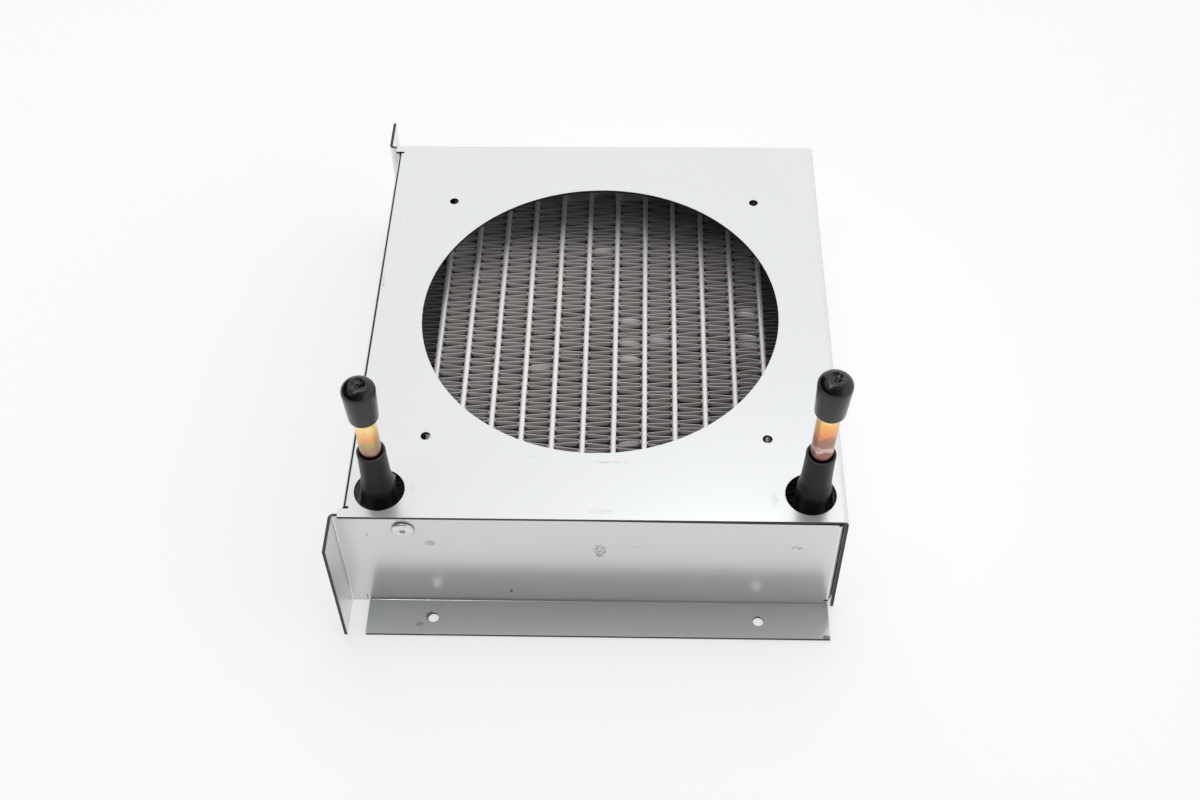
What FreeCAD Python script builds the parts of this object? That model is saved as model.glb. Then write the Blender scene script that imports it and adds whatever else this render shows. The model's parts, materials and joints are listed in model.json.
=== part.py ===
import FreeCAD, Part
import math
import os

# Refrigeration condenser: a serpentine flat-tube core under a sheet-steel fan shroud.
# Millimetres. X to the right, Y to the back, Z up. The origin is the centre of the
# base hole pattern, on the plane that the part stands on.

Vector = FreeCAD.Vector
UP = Vector(0, 0, 1)
BACK = Vector(0, 1, 0)
RIGHT = Vector(1, 0, 0)
ORIGIN = Vector(0, 0, 0)

# Serpentine tube
run_count = 14
tube_thickness = 1.8
tube_width = 25.4
front_bend_from_end = 10.0
rear_bend_from_end = 8.7
core_underside = 4.6

# Corrugated fins
fin_height = 8.1
fin_leg_pitch = 1.72
fin_thickness = 0.15
fin_to_bend = 0.1
braze_gap = 0.02

# Core side plates
side_plate_thickness = 0.5
side_plate_overhang = 1.0

# Sheet-steel shroud
sheet = 1.0
bend_radius = 0.6
shroud_length = 164.8
shroud_height = 46.0
core_side_clearance = 0.15
fan_opening_diameter = 117.0
fan_centre_y = 0.8
fan_screw_spacing = 105.0
fan_screw_diameter = 3.0
pipe_hole_diameter = 15.2
slit_from_end = 3.5
slit_width = 0.8
slit_length = 2.1
corner_overhang = 0.9
nesting_gap = 0.05
rivet_tab_reach = 24.0
rivet_tab_height = 11.5
rivet_tab_top_gap = 0.6

# Lanced tongues of the shroud that carry the core
tongue_y = 45.0
tongue_width = 8.0
tongue_reach = 3.5
tongue_gap = 0.05

# End brackets
bracket_setback = 0.2
bracket_top_gap = 0.15
bracket_top_drop = 0.75
bracket_drop_from = -10.0
bracket_reach = 12.6
ear_from_wall = 2.5
flange_left = -71.8
flange_right = 73.1
flange_hole_spacing = 102.0
flange_hole_from_wall = 6.5
flange_hole_diameter = 3.4
return_length = 7.7
return_underside = 3.3
return_gap = 0.1
relief = 0.7

# Blind rivets
rivet_x = -57.0
rivet_below_top = 6.3
rivet_shank_diameter = 3.2
rivet_head_diameter = 7.0
rivet_head_height = 1.1
rivet_head_edge = 0.5
rivet_head_chamfer = 1.2
rivet_bulb_diameter = 4.4
rivet_bulb_length = 2.8
mandrel_hole_diameter = 1.6
mandrel_hole_depth = 0.7
rivet_clearance = 0.05

# Header tubes
header_diameter = 8.0
header_wall = 0.8
header_below_core = 2.2
header_top = 49.5
tube_end_into_header = 2.2
slot_clearance = 0.05
plug_thickness = 1.8
plug_clearance = 0.02
lean_start = 32.0

# Copper stubs, brazed joints, sleeves and caps
stub_diameter = 6.35
stub_wall = 0.8
stub_insertion = 10.0
braze_height = 1.6
braze_clearance = 0.01
sleeve_underside = 38.0
sleeve_wall = 0.8
sleeve_neck_from = 0.2
sleeve_neck_length = 3.0
sleeve_neck_wall = 0.6
sleeve_neck_play = 0.45
sleeve_clearance = 0.03
cap_length = 14.8
cap_diameter = 9.8
cap_mouth_diameter = 8.7
cap_crown = 2.0
cap_end_gap = 0.5
cap_clearance = 0.06
cap_crown_radius = 3.0

# The two tube ends differ in lean and in how far the sleeve and the cap were pushed on.
pipe_ends = {
    "left": {"side": -1, "lean": 0.0, "sleeve_top": 65.5, "cap_underside": 80.6},
    "right": {"side": 1, "lean": 1.65, "sleeve_top": 66.3, "cap_underside": 84.8},
}

# Derived sizes of the core
half_length = shroud_length / 2
front_bend_y = front_bend_from_end - half_length
rear_bend_y = half_length - rear_bend_from_end
run_pitch = tube_thickness + fin_height
run_span = run_pitch * (run_count - 1)
bend_mean_radius = run_pitch / 2
core_top = core_underside + tube_width
core_half_width = run_span / 2 + tube_thickness / 2 + fin_height + side_plate_thickness
header_radius = header_diameter / 2
header_bore_radius = header_radius - header_wall
header_y = front_bend_y
header_x = run_span / 2
stub_radius = stub_diameter / 2

# Derived sizes of the sheet-metal box
half_width = core_half_width + core_side_clearance + sheet
wall_inside = half_width - sheet
bracket_front = half_length - bracket_setback
bracket_back = bracket_front - sheet
bracket_tip = half_length + bracket_reach
bracket_top = shroud_height - sheet - bracket_top_gap
tab_face = bracket_back - nesting_gap
outer_bend = bend_radius + sheet


def outline(corners):
    """Closed wire through (point, radius) corners that lie in one plane."""
    edges = []
    arcs = []
    count = len(corners)
    for index in range(count):
        point, radius = corners[index]
        to_last = (corners[index - 1][0] - point).normalize()
        to_next = (corners[(index + 1) % count][0] - point).normalize()
        half_angle = to_last.getAngle(to_next) / 2
        set_back = radius / math.tan(half_angle)
        inward = (to_last + to_next).normalize()
        middle = point + inward * (radius / math.sin(half_angle) - radius)
        arcs.append((point + to_last * set_back, middle, point + to_next * set_back))
    for index in range(count):
        start, middle, end = arcs[index]
        if corners[index][1] > 0:
            edges.append(Part.Arc(start, middle, end).toShape())
        edges.append(Part.makeLine(end, arcs[(index + 1) % count][0]))
    return Part.Wire(edges)


def prism(corners, along):
    """Solid of a rounded outline drawn out along a vector."""
    return Part.Face(outline(corners)).extrude(along)


def plan(x, y, radius=0.0):
    """Corner of an outline that lies in the floor plane."""
    return Vector(x, y, 0), radius


def box(low, high):
    """Box between two opposite corners."""
    size = high - low
    return Part.makeBox(size.x, size.y, size.z, low)


def drill(diameter, centre, axis, depth):
    """Round cutter centred on a point of its axis."""
    return Part.makeCylinder(diameter / 2, depth, centre - axis * (depth / 2), axis)


def turned(profile):
    """Solid of revolution about Z from (radius, height) points."""
    points = [Vector(radius, 0, height) for radius, height in profile]
    face = Part.Face(Part.makePolygon(points + points[:1]))
    return face.revolve(ORIGIN, UP, 360)


def mirrored_back(shape):
    """Copy of a front piece at the rear end."""
    return shape.mirror(ORIGIN, BACK)


def run_x(index):
    """Centre of a straight run of the flat tube."""
    return -run_span / 2 + run_pitch * index


def serpentine_path():
    """Centre line of the flat tube, from the left header to the right one."""
    end_y = header_y + header_bore_radius - tube_end_into_header
    edges = []
    for index in range(run_count):
        x = run_x(index)
        first = index == 0
        last = index == run_count - 1
        front = Vector(x, end_y if first or last else front_bend_y, 0)
        rear = Vector(x, rear_bend_y, 0)
        goes_back = index % 2 == 0
        edges.append(Part.makeLine(front, rear) if goes_back else Part.makeLine(rear, front))
        if last:
            break
        bend_y = rear_bend_y if goes_back else front_bend_y
        bulge = bend_mean_radius if goes_back else -bend_mean_radius
        start = Vector(x, bend_y, 0)
        crest = Vector(x + bend_mean_radius, bend_y + bulge, 0)
        end = Vector(x + run_pitch, bend_y, 0)
        edges.append(Part.Arc(start, crest, end).toShape())
    path = Part.Wire(edges)
    path.translate(UP * (core_underside + tube_width / 2))
    return path


def serpentine_tube():
    """Flat multiport tube bent back and forth, swept along its centre line."""
    path = serpentine_path()
    start = path.OrderedVertexes[0].Point
    half_thick = tube_thickness / 2
    half_wide = tube_width / 2
    section = Part.makePolygon([
        start + Vector(-half_thick, 0, -half_wide),
        start + Vector(half_thick, 0, -half_wide),
        start + Vector(half_thick, 0, half_wide),
        start + Vector(-half_thick, 0, half_wide),
        start + Vector(-half_thick, 0, -half_wide),
    ])
    sweep = Part.BRepOffsetAPI.MakePipeShell(path)
    sweep.setBiNormalMode(UP)
    sweep.add(section)
    sweep.build()
    sweep.makeSolid()
    return sweep.shape()


def fin_strip(index):
    """Zigzag fin between two runs, or between an outer run and a side plate."""
    beside_header = index in (0, 1, run_count - 1, run_count)
    clear_of_header = header_y + header_radius + braze_gap
    front = clear_of_header if beside_header else front_bend_y + fin_to_bend
    rear = rear_bend_y - fin_to_bend
    legs = round((rear - front) / fin_leg_pitch)
    leg_pitch = (rear - front) / legs
    left = run_x(index) - tube_thickness / 2 - fin_height + braze_gap
    right = left + fin_height - 2 * braze_gap
    half_angle = math.atan(leg_pitch / fin_height)
    shift = fin_thickness / math.sin(half_angle)
    near_side = []
    far_side = []
    for corner in range(legs + 1):
        y = rear - corner * leg_pitch
        at_right = corner % 2 == 0
        near_side.append(Vector(right - shift if at_right else left, y, core_underside))
        far_side.append(Vector(right if at_right else left + shift, y, core_underside))
    ring = near_side + far_side[::-1]
    return Part.Face(Part.makePolygon(ring + ring[:1])).extrude(UP * tube_width)


def side_plate(side):
    """Aluminium strip that closes the core beside its outer fin strip."""
    outer = core_half_width
    inner = outer - side_plate_thickness
    front = header_y + header_radius - side_plate_overhang
    rear = rear_bend_y - fin_to_bend + side_plate_overhang
    low = Vector(min(side * outer, side * inner), front, core_underside)
    high = Vector(max(side * outer, side * inner), rear, core_top)
    return box(low, high)


def left_wall():
    """Left wall of the shroud with the two tabs that are riveted to the brackets."""
    tab_top = shroud_height - sheet - rivet_tab_top_gap
    tab_tip = -wall_inside + rivet_tab_reach
    tab_back = tab_face - sheet
    c_shape = prism([
        plan(tab_tip, -tab_face),
        plan(-half_width, -tab_face, outer_bend),
        plan(-half_width, tab_face, outer_bend),
        plan(tab_tip, tab_face),
        plan(tab_tip, tab_back),
        plan(-wall_inside, tab_back, bend_radius),
        plan(-wall_inside, -tab_back, bend_radius),
        plan(tab_tip, -tab_back),
    ], UP * rivet_tab_height)
    c_shape.translate(UP * (tab_top - rivet_tab_height))
    flat_end = tab_face - outer_bend
    below = box(Vector(-half_width, -flat_end, 0), Vector(-wall_inside, flat_end, tab_top))
    return c_shape.fuse(below)


def wall_bend(plate_edge, side, length):
    """Strip of the plate, its bend and the top of one wall, centred along Y."""
    def corner(x, z, radius=0.0):
        return Vector(side * x, -length / 2, z), radius

    foot = shroud_height - sheet - outer_bend - rivet_tab_top_gap
    return prism([
        corner(plate_edge, shroud_height),
        corner(half_width, shroud_height, outer_bend),
        corner(half_width, foot),
        corner(wall_inside, foot),
        corner(wall_inside, shroud_height - sheet, bend_radius),
        corner(plate_edge, shroud_height - sheet),
    ], BACK * length)


def tongue(side, y, face_z, turned_up):
    """Tongue lanced out of a wall, and the window that it leaves."""
    lift = 1 if turned_up else -1
    near = y - tongue_width / 2
    inner = side * (wall_inside - tongue_reach)
    outer = side * half_width
    far_z = face_z - lift * sheet
    blade = box(
        Vector(min(inner, outer), near, min(face_z, far_z)),
        Vector(max(inner, outer), near + tongue_width, max(face_z, far_z)),
    )
    window_z = face_z + lift * tongue_reach
    low = Vector(min(side * wall_inside, outer), near, min(face_z, window_z))
    high = Vector(max(side * wall_inside, outer), near + tongue_width, max(face_z, window_z))
    return blade, box(low, high)


def shroud():
    """Top plate with the fan opening, and the two folded side walls."""
    slit_outer = half_length - slit_from_end + slit_width / 2
    slit_inner = half_length - slit_from_end - slit_width / 2
    slit_end = half_width - slit_length
    plate = box(
        Vector(-half_width - corner_overhang, -half_length, shroud_height - sheet),
        Vector(slit_end, half_length, shroud_height),
    )
    notch = box(
        Vector(-half_width - sheet, -slit_outer, 0),
        Vector(-slit_end, slit_outer, shroud_height),
    )
    right_wall = box(
        Vector(wall_inside, -half_length, 0),
        Vector(half_width, half_length, shroud_height - sheet - outer_bend),
    )
    body = plate.cut(notch).fuse([
        right_wall,
        wall_bend(slit_end, 1, shroud_length),
        left_wall(),
        wall_bend(slit_end, -1, 2 * slit_inner),
    ])
    blades = []
    windows = []
    for side in (-1, 1):
        for y in (-tongue_y, tongue_y):
            for face_z, turned_up in ((core_underside - tongue_gap, True), (core_top + tongue_gap, False)):
                blade, window = tongue(side, y, face_z, turned_up)
                blades.append(blade)
                windows.append(window)
    body = body.cut(windows).fuse(blades)
    cutters = [drill(fan_opening_diameter, Vector(0, fan_centre_y, shroud_height), UP, 4 * sheet)]
    half_spacing = fan_screw_spacing / 2
    for x in (-half_spacing, half_spacing):
        for y in (-half_spacing, half_spacing):
            centre = Vector(x, fan_centre_y + y, shroud_height)
            cutters.append(drill(fan_screw_diameter, centre, UP, 4 * sheet))
    for x in (-header_x, header_x):
        cutters.append(drill(pipe_hole_diameter, Vector(x, header_y, shroud_height), UP, 4 * sheet))
    for y in (-tab_face, tab_face):
        cutters.append(rivet_hole(y))
    return body.cut(cutters).removeSplitter()


def rivet_hole(y):
    """Cutter for the rivet hole through a bracket and the tab behind it."""
    centre = Vector(rivet_x, y, shroud_height - rivet_below_top)
    return drill(rivet_shank_diameter + 2 * rivet_clearance, centre, BACK, 6 * sheet)


def front_bracket():
    """End bracket: wall, forward ear, backward return and bottom flange."""
    ear_inside = -half_width - ear_from_wall
    return_face = wall_inside - return_gap
    wall = prism([
        plan(ear_inside - sheet, -bracket_tip),
        plan(ear_inside - sheet, -bracket_back, outer_bend),
        plan(return_face - sheet, -bracket_back, bend_radius),
        plan(return_face - sheet, return_length - half_length),
        plan(return_face, return_length - half_length),
        plan(return_face, -bracket_front, outer_bend),
        plan(ear_inside, -bracket_front, bend_radius),
        plan(ear_inside, -bracket_tip),
    ], UP * shroud_height)

    def top_corner(x, z):
        return Vector(x, -half_length - sheet, z), 0.0

    plate_corner = -half_width - corner_overhang - nesting_gap
    under_plate = prism([
        top_corner(plate_corner, bracket_top),
        top_corner(bracket_drop_from, bracket_top),
        top_corner(half_width, bracket_top - bracket_top_drop),
        top_corner(half_width, shroud_height + sheet),
        top_corner(plate_corner, shroud_height + sheet),
    ], BACK * half_length)
    under_bend = box(
        Vector(return_face - outer_bend, -half_length, shroud_height - sheet - outer_bend),
        Vector(half_width, 0, shroud_height),
    )
    above_flange = box(
        Vector(flange_left - relief, -half_length, 0),
        Vector(half_width, 0, return_underside),
    )

    def corner(y, z, radius=0.0):
        return Vector(flange_left, y, z), radius

    flange = prism([
        corner(-bracket_tip, 0),
        corner(-bracket_back, 0, outer_bend),
        corner(-bracket_back, return_underside),
        corner(-bracket_front, return_underside),
        corner(-bracket_front, sheet, bend_radius),
        corner(-bracket_tip, sheet),
    ], RIGHT * (flange_right - flange_left))
    slit = box(
        Vector(flange_right - 2 * relief, -half_length, return_underside - relief),
        Vector(half_width, 0, return_underside),
    )
    hole_y = -half_length - flange_hole_from_wall
    cutters = [slit, rivet_hole(-bracket_back)]
    for x in (-flange_hole_spacing / 2, flange_hole_spacing / 2):
        cutters.append(drill(flange_hole_diameter, Vector(x, hole_y, 0), UP, 4 * sheet))
    wall = wall.cut([under_plate, under_bend, above_flange])
    return wall.fuse(flange).cut(cutters).removeSplitter()


def front_rivet():
    """Blind rivet: head, shank through both sheets, and the bulb behind."""
    head = rivet_head_diameter / 2
    shank = rivet_shank_diameter / 2
    bulb = rivet_bulb_diameter / 2
    mandrel = mandrel_hole_diameter / 2
    grip = bracket_front - tab_face + sheet
    rivet = turned([
        (0, rivet_head_height - mandrel_hole_depth),
        (mandrel, rivet_head_height - mandrel_hole_depth),
        (mandrel, rivet_head_height),
        (head - rivet_head_chamfer, rivet_head_height),
        (head, rivet_head_edge),
        (head, 0),
        (shank, 0),
        (shank, -grip),
        (bulb, -grip),
        (bulb, -grip - rivet_bulb_length),
        (0, -grip - rivet_bulb_length),
    ])
    rivet.rotate(ORIGIN, RIGHT, 90)
    rivet.translate(Vector(rivet_x, -bracket_front, shroud_height - rivet_below_top))
    return rivet


def header_path(end):
    """Centre line of a header tube: upright to its knee, then leaning."""
    foot = Vector(end["side"] * header_x, header_y, core_underside - header_below_core)
    knee = Vector(foot.x, foot.y, lean_start)
    lean = math.radians(end["lean"])
    tip = knee + Vector(math.sin(lean), 0, math.cos(lean)) * (header_top - lean_start)
    return Part.makePolygon([foot, knee, tip] if lean else [foot, tip])


def swept_round(path, radius):
    """Solid round bar along a path that starts upright, mitred at its knee."""
    start = path.OrderedVertexes[0].Point
    circle = Part.Wire([Part.makeCircle(radius, start, UP)])
    sweep = Part.BRepOffsetAPI.MakePipeShell(path)
    sweep.setTransitionMode(1)
    sweep.add(circle)
    sweep.build()
    sweep.makeSolid()
    return sweep.shape()


def header(end):
    """Header tube with the slot for the flat tube's end."""
    path = header_path(end)
    tube = swept_round(path, header_radius).cut(swept_round(path, header_bore_radius))
    half_slot = tube_thickness / 2 + slot_clearance
    x = end["side"] * header_x
    slot = box(
        Vector(x - half_slot, header_y, core_underside - slot_clearance),
        Vector(x + half_slot, header_y + header_diameter, core_top + slot_clearance),
    )
    return tube.cut(slot)


def header_plug(end):
    """Disc brazed into the lower end of a header."""
    foot = Vector(end["side"] * header_x, header_y, core_underside - header_below_core)
    return Part.makeCylinder(header_bore_radius - plug_clearance, plug_thickness, foot)


def on_leaning_axis(shape, end):
    """Put a turned piece, drawn about Z at true heights, on its leaning tube."""
    knee = Vector(0, 0, lean_start)
    shape.rotate(knee, BACK, end["lean"])
    shape.translate(Vector(end["side"] * header_x, header_y, 0))
    return shape


def stub_end(end):
    """Height of a copper stub's open end."""
    return end["cap_underside"] + cap_length - cap_crown - cap_end_gap


def copper_stub(end):
    """Copper pipe stub that enters the header."""
    low = header_top - stub_insertion
    bore = stub_radius - stub_wall
    high = stub_end(end)
    ring = turned([(bore, low), (stub_radius, low), (stub_radius, high), (bore, high)])
    return on_leaning_axis(ring, end)


def braze_joint(end):
    """Fillet of brazing alloy on the header's end, round the stub."""
    inner = stub_radius + braze_clearance
    ring = turned([(inner, header_top), (header_radius, header_top), (inner, header_top + braze_height)])
    return on_leaning_axis(ring, end)


def sleeve(end):
    """Heat-shrunk sleeve, tight on the header and standing open round the stub."""
    wide_in = header_radius + sleeve_clearance
    wide_out = wide_in + sleeve_wall
    narrow_in = stub_radius + sleeve_neck_play
    narrow_out = narrow_in + sleeve_neck_wall
    neck_low = header_top + sleeve_neck_from
    neck_high = neck_low + sleeve_neck_length
    ring = turned([
        (wide_in, sleeve_underside),
        (wide_in, neck_low),
        (narrow_in, neck_high),
        (narrow_in, end["sleeve_top"]),
        (narrow_out, end["sleeve_top"]),
        (narrow_out, neck_high),
        (wide_out, neck_low),
        (wide_out, sleeve_underside),
    ])
    return on_leaning_axis(ring, end)


def cap(end):
    """Pull-off end cap with a rounded crown, a little narrower at its mouth."""
    outer = cap_diameter / 2
    mouth = cap_mouth_diameter / 2
    bore = stub_radius + cap_clearance
    low = end["cap_underside"]
    high = low + cap_length
    ceiling = high - cap_crown
    crown_step = cap_crown_radius * (1 - math.sqrt(0.5))
    shell = turned([
        (0, ceiling),
        (bore, ceiling),
        (bore, low),
        (mouth, low),
        (outer, high - cap_crown_radius),
        (outer - crown_step, high - crown_step),
        (outer - cap_crown_radius, high),
        (0, high),
    ])
    return on_leaning_axis(shell, end)


def build_pieces():
    """Every separate piece by its name."""
    pieces = {
        "shroud": shroud(),
        "front_bracket": front_bracket(),
        "front_rivet": front_rivet(),
        "serpentine_tube": serpentine_tube(),
        "left_side_plate": side_plate(-1),
        "right_side_plate": side_plate(1),
    }
    pieces["rear_bracket"] = mirrored_back(pieces["front_bracket"])
    pieces["rear_rivet"] = mirrored_back(pieces["front_rivet"])
    for index in range(run_count + 1):
        pieces["fin_strip_%02d" % (index + 1)] = fin_strip(index)
    for name, end in pipe_ends.items():
        pieces[name + "_header"] = header(end)
        pieces[name + "_header_plug"] = header_plug(end)
        pieces[name + "_copper_stub"] = copper_stub(end)
        pieces[name + "_braze_joint"] = braze_joint(end)
        pieces[name + "_sleeve"] = sleeve(end)
        pieces[name + "_cap"] = cap(end)
    return pieces


def main():
    os.makedirs("parts", exist_ok=True)
    for name, shape in build_pieces().items():
        shape.exportStep("parts/%s.step" % name)
        print(name, len(shape.Solids), shape.isValid(), round(shape.Volume, 2))


main()
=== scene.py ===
import json
import math

import bmesh
import bpy
from bpy.props import FloatProperty, FloatVectorProperty, PointerProperty
from bpy.types import NodeSocket, Operator, Panel, PropertyGroup
from mathutils import Matrix, Vector, noise
from mathutils.bvhtree import BVHTree


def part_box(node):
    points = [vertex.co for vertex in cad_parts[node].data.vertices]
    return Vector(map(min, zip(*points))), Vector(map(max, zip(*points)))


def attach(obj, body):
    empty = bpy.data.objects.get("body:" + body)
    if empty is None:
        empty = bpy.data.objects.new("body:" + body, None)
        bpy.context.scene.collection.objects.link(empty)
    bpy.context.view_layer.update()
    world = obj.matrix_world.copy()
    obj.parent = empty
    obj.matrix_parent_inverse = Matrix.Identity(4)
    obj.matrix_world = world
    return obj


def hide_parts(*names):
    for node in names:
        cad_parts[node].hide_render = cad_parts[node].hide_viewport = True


bl_info = {
    "name": "Refrigeration Condenser",
    "version": (1, 0, 0),
    "blender": (4, 5, 0),
    "location": "View3D > Sidebar > Condenser",
    "description": "Finished surfaces of a serpentine condenser around its solid model",
    "category": "Object",
}

# A serpentine flat-tube condenser under a folded sheet-steel fan shroud, with two capped
# copper stubs. Lengths are metres, X to the right, Y to the back and Z up. Every piece is
# placed from the boxes of the solid model, which is loaded here as the frame.
MM = 0.001
WELD = 0.0005 * MM

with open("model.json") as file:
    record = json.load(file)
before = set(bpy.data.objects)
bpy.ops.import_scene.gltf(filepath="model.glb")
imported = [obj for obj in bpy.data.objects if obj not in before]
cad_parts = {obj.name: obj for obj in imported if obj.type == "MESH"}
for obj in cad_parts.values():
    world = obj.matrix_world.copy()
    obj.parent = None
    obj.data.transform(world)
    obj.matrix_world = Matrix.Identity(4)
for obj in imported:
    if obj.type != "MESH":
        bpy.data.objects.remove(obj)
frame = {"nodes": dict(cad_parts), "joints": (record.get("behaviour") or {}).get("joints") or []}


def linear(code):
    """Linear colour of an sRGB hex value such as #C8CACB."""
    shares = [int(code[start:start + 2], 16) / 255 for start in (1, 3, 5)]
    return tuple(s / 12.92 if s <= 0.04045 else ((s + 0.055) / 1.055) ** 2.4 for s in shares) + (1.0,)


def length(name, description, millimetres):
    """Length property with its default given in millimetres."""
    return FloatProperty(
        name=name, description=description, default=millimetres * MM, unit="LENGTH", precision=5)


def colour(name, description, code):
    """Colour property with its default given as sRGB hex."""
    return FloatVectorProperty(
        name=name, description=description, default=linear(code), size=4, subtype="COLOR")


class CondenserSheet(PropertyGroup):
    """Folded sheet steel of the shroud and the end brackets."""

    thickness: length("Sheet thickness", "Gauge of the folded sheet", 1.0)
    edge_break: length("Edge break", "Width of the worn chamfer along sheared edges", 0.1)
    zinc: colour("Zinc coating", "Passivated zinc on the faces of the sheet", "#E9EBEB")
    sheared: colour("Sheared edge", "Bare steel where the sheet was cut", "#5C5856")
    # Colour of the scuffs, and of the painted shade round the flange's holes.
    scuff_and_shade: colour("Scuff", "Rubbed and pitted spots in the zinc", "#6E7170")


class CondenserCore(PropertyGroup):
    """Flat tube and corrugated fins."""

    fin_pitch: length("Fin leg pitch", "Distance from one fin leg to the next", 1.72)
    fin_gauge: length("Fin gauge", "Thickness of the fin strip", 0.15)
    crest_radius: length("Crest radius", "Radius of the fin's folds along its middle", 0.62)
    fin_below_nose: length("Fin below nose", "How far the tube's nose stands out of the fins", 0.35)
    nose: length("Nose", "Height of the flat tube's rounded nose", 0.45)
    meander: length("Meander", "How far a straight run strays from its line", 0.05)
    tube: colour("Flat tube", "Flux-brazed aluminium tube", "#F6F4F2")
    fin: colour("Fin strip", "Brazed aluminium fin stock", "#F3EEEC")


class CondenserPipes(PropertyGroup):
    """Copper stubs, heat-shrunk sleeves and vinyl caps."""

    # Straw gold, painted paler as a painted highlight right below the cap.
    copper_straw_and_highlight: colour("Bright copper", "Straw-gold copper right below the cap", "#FFE9A8")
    copper_tinted: colour("Tinted copper", "Copper browned by brazing, by the sleeve", "#8C6A5B")
    sleeve: colour("Heat-shrunk sleeve", "Black polyolefin sleeve", "#0B0C0D")
    cap: colour("Vinyl cap", "Black dip-moulded vinyl", "#101011")
    rivet: colour("Blind rivet", "Tumbled aluminium rivet head", "#EDECEA")


class CondenserStage(PropertyGroup):
    """Camera, floor and light."""

    focal: FloatProperty(name="Focal length", description="On a 36 mm wide sensor", default=45.197)
    azimuth: FloatProperty(
        name="Azimuth", description="Camera's turn about Z", default=math.radians(2.277), subtype="ANGLE")
    elevation: FloatProperty(
        name="Elevation", description="Camera's height above the horizon", default=math.radians(50.46),
        subtype="ANGLE")
    roll: FloatProperty(
        name="Roll", description="Camera's turn about its view", default=math.radians(-1.238),
        subtype="ANGLE")
    distance: length("Distance", "From the camera to the plane through the fan opening", 495.5)
    drop: length("Drop", "How far the view is centred below the fan opening", 28.994)
    floor: colour("Floor", "Pale paper sweep", "#FDFBFC")


def per_mm(size):
    """Scale of a pattern whose features are so many millimetres across."""
    return 1 / (size * MM)


def clamped(share):
    """Share held between nothing and all."""
    return min(1.0, max(0.0, share))


def eased(share):
    """Share that starts and ends gently."""
    return share * share * (3 - 2 * share)


def darker(tint, share):
    """Colour at a share of its brightness."""
    return [share * channel for channel in tint[:3]] + [1.0]


def add(tree, kind, sockets=(), **settings):
    """Node with its settings, and its sockets set to values or linked."""
    node = tree.nodes.new(kind)
    for name, value in settings.items():
        setattr(node, name, value)
    for name, value in dict(sockets).items():
        if isinstance(value, NodeSocket):
            tree.links.new(value, node.inputs[name])
        else:
            node.inputs[name].default_value = value
    return node


def start_material(name, metallic, roughness):
    """New material: its tree, its shader and the place on the part as coordinates."""
    material = bpy.data.materials.new(name)
    material.use_nodes = True
    tree = material.node_tree
    shader = tree.nodes["Principled BSDF"]
    shader.inputs["Metallic"].default_value = metallic
    shader.inputs["Roughness"].default_value = roughness
    return material, tree, shader, add(tree, "ShaderNodeTexCoord").outputs["Object"]


def blend_colour(tree, share, low, high):
    """Colour that goes from low to high with a share."""
    mix = add(tree, "ShaderNodeMix", {"Factor": share}, data_type="RGBA")
    for socket, value in ((mix.inputs[6], low), (mix.inputs[7], high)):
        if isinstance(value, NodeSocket):
            tree.links.new(value, socket)
        else:
            socket.default_value = value
    return mix.outputs[2]


def paint(tree, shader, share, low, high):
    """Base colour that goes from low to high with a share."""
    tree.links.new(blend_colour(tree, share, low, high), shader.inputs["Base Color"])


def mottle(tree, place, size, detail=3.0):
    """Noise whose spots are so many millimetres across."""
    return add(tree, "ShaderNodeTexNoise", {
        "Vector": place, "Scale": per_mm(size), "Detail": detail}).outputs["Fac"]


def roughen(tree, shader, height, strength, depth):
    """Bump on a shader, so many millimetres deep."""
    bump = add(tree, "ShaderNodeBump", {
        "Height": height, "Strength": strength, "Distance": depth * MM})
    tree.links.new(bump.outputs["Normal"], shader.inputs["Normal"])


def calculate(tree, operation, first, second=0.0):
    """Result of one sum on sockets or values."""
    return add(tree, "ShaderNodeMath", {0: first, 1: second}, operation=operation).outputs[0]


def remap(tree, value, source, target, **settings):
    """Value taken from one span to another and held at its ends."""
    return add(tree, "ShaderNodeMapRange", {
        "Value": value, "From Min": source[0], "From Max": source[1],
        "To Min": target[0], "To Max": target[1]}, **settings).outputs["Result"]
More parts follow.
